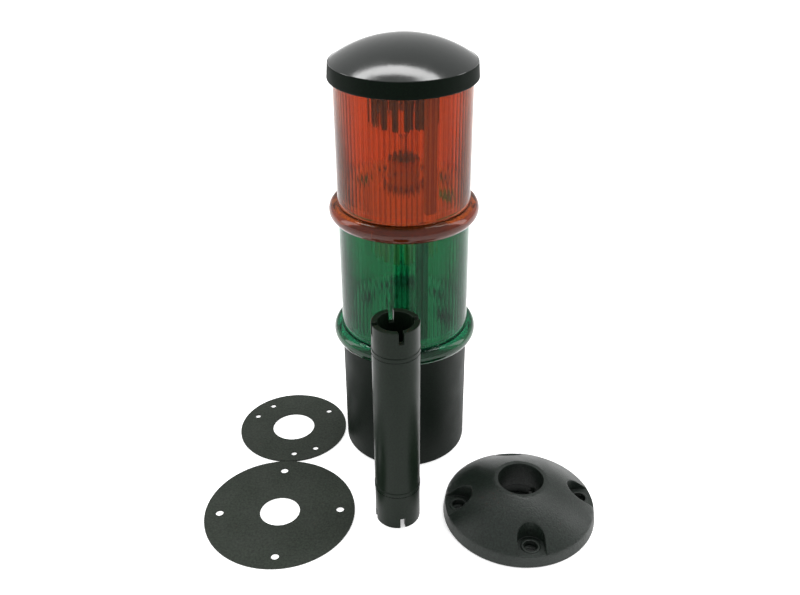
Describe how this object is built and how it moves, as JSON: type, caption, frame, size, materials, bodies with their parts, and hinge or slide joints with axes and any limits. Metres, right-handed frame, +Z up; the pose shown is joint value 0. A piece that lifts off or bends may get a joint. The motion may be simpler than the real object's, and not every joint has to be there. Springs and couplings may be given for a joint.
{
  "type": "stack light",
  "caption": "Modular signal tower with a green and an orange lamp module on a round base, with its pole, foot and gaskets laid beside it.",
  "frame": {"origin": "centre of the pole socket's mouth in the underside of the base", "axes": "+Z up along the tower's axis, -Y towards the side where the pole and foot stand"},
  "size_m": [0.2227, 0.1607, 0.2518],
  "materials": {
    "black_plastic": "satin moulded ABS",
    "cap_plastic": "polished dome over a matt rim, moulded ABS",
    "foot_plastic": "spark-eroded texture, moulded nylon",
    "pole_paint": "satin black anodised aluminium tube",
    "gasket_rubber": "matt sheet rubber",
    "seal_rubber": "moulded rubber",
    "green_lens": "clear polycarbonate with upright flutes inside",
    "orange_lens": "clear polycarbonate with upright flutes inside",
    "bulb_glass": "clear blown glass",
    "plated_steel": "bright nickel plate",
    "brass": "stamped",
    "filament_wire": "drawn tungsten wire",
    "grey_plastic": "satin moulded polyamide"
  },
  "bodies": {
    "root": {"base_housing": "black_plastic", "base_plate": "black_plastic", "base_contact_blades": "brass", "terminal_block": "grey_plastic", "terminal_screws": "plated_steel", "pole": "pole_paint", "foot": "foot_plastic", "foot_gasket": "gasket_rubber", "base_gasket": "gasket_rubber"},
    "green_module": {"green_lens": "green_lens", "green_carrier": "black_plastic", "green_seal": "seal_rubber", "green_lamp_holder": "plated_steel", "green_bulb_cap": "brass", "green_bulb_glass": "bulb_glass", "green_filament": "filament_wire", "green_wiring_duct": "grey_plastic", "green_contact_blades": "brass", "green_contact_tracks": "brass"},
    "orange_module": {"orange_lens": "orange_lens", "orange_carrier": "black_plastic", "orange_seal": "seal_rubber", "orange_lamp_holder": "plated_steel", "orange_bulb_cap": "brass", "orange_bulb_glass": "bulb_glass", "orange_filament": "filament_wire", "orange_wiring_duct": "grey_plastic", "orange_contact_blades": "brass", "orange_contact_tracks": "brass"},
    "cap_body": {"cap": "cap_plastic", "cap_seal": "seal_rubber"}
  },
  "joints": [
    {"name": "green_module_turn", "type": "hinge", "parent": "root", "child": "green_module", "pos_m": [0, 0, 0.0756], "axis": [0, 0, 1], "range_deg": [0, 20]},
    {"name": "orange_module_turn", "type": "hinge", "parent": "green_module", "child": "orange_module", "pos_m": [0, 0, 0.153], "axis": [0, 0, 1], "range_deg": [0, 20]},
    {"name": "cap_turn", "type": "hinge", "parent": "orange_module", "child": "cap_body", "pos_m": [0, 0, 0.2304], "axis": [0, 0, 1], "range_deg": [0, 20]}
  ]
}
